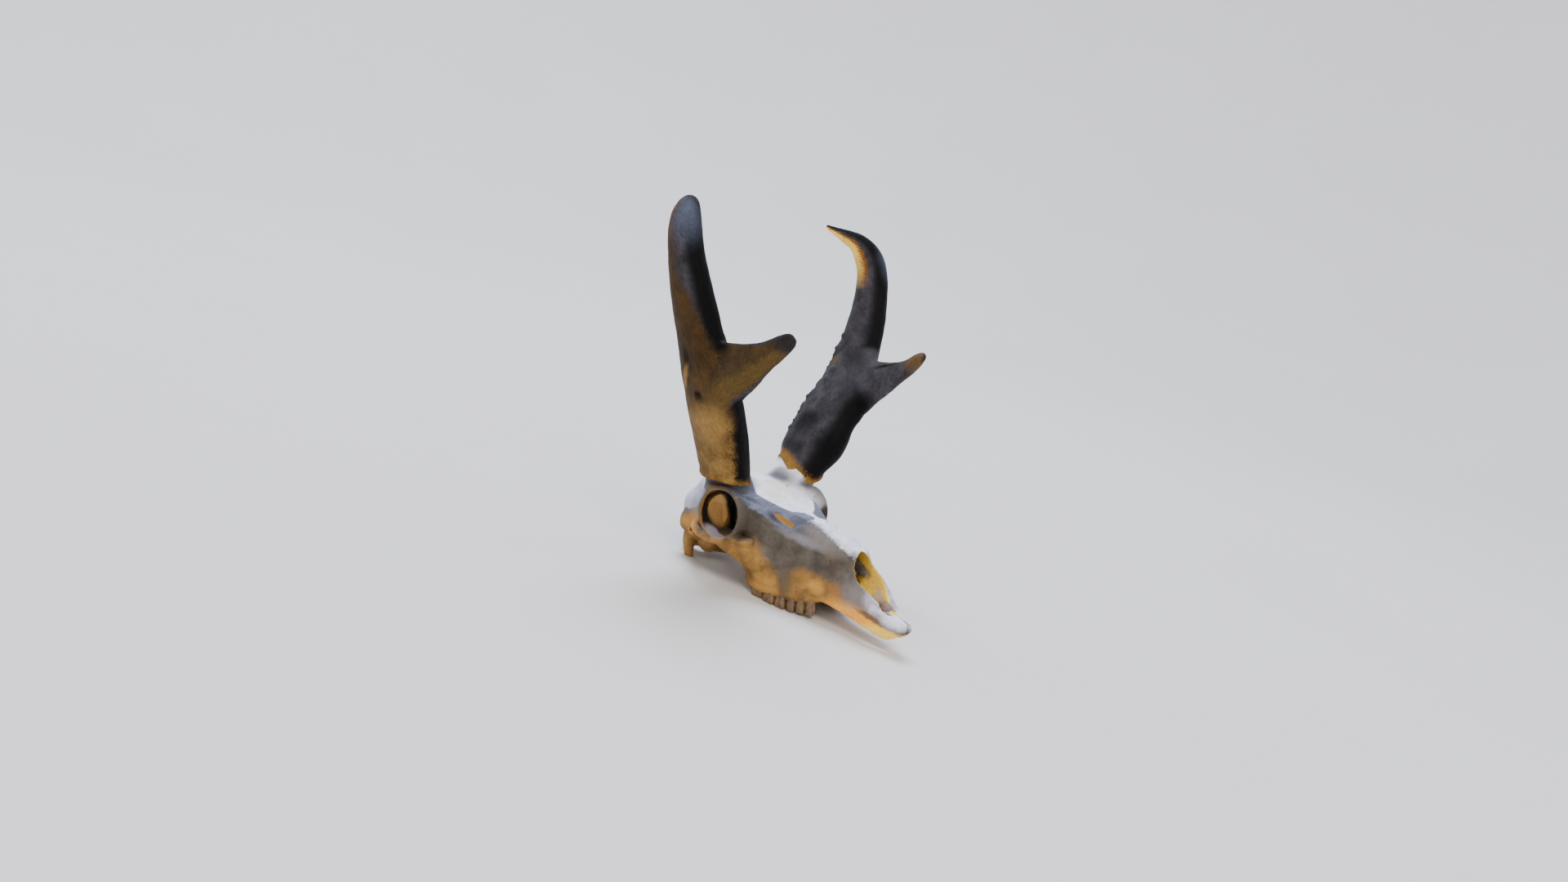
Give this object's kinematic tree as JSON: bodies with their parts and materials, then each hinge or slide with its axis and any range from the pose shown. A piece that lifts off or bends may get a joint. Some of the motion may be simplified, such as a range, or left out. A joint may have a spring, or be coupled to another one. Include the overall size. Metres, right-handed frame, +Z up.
{
  "type": "pronghorn skull",
  "caption": "Cranium of a male pronghorn without its lower jaw, with two forked, backward-hooked horn sheaths, resting on its molars and the processes behind the ears.",
  "frame": {"origin": "middle of the skull's footprint, on the surface it lies on", "axes": "+X the animal's left, +Y from the muzzle towards the back of the head, +Z up"},
  "size_m": [0.3098, 0.2968, 0.363],
  "materials": {
    "premaxilla": "dry bone, matte",
    "nasal": "weathered, bleached bone",
    "maxilla": "dry bone, matte",
    "brow": "weathered, bleached bone",
    "cheekbone": "ochre-stained bone",
    "braincase": "dry bone, matte",
    "horn_shaft": "fibrous horn, satin",
    "horn_prong": "fibrous horn, satin",
    "horn_tip": "worn horn, polished"
  },
  "bodies": {
    "root": {"braincase": "braincase", "premaxilla_left": "premaxilla", "premaxilla_right": "premaxilla", "nasal_left": "nasal", "nasal_right": "nasal", "maxilla_left": "maxilla", "maxilla_right": "maxilla", "brow_left": "brow", "brow_right": "brow", "cheekbone_left": "cheekbone", "cheekbone_right": "cheekbone", "horn_shaft_left": "horn_shaft", "horn_shaft_right": "horn_shaft", "horn_prong_left": "horn_prong", "horn_prong_right": "horn_prong", "horn_tip_left": "horn_tip", "horn_tip_right": "horn_tip"}
  },
  "joints": []
}
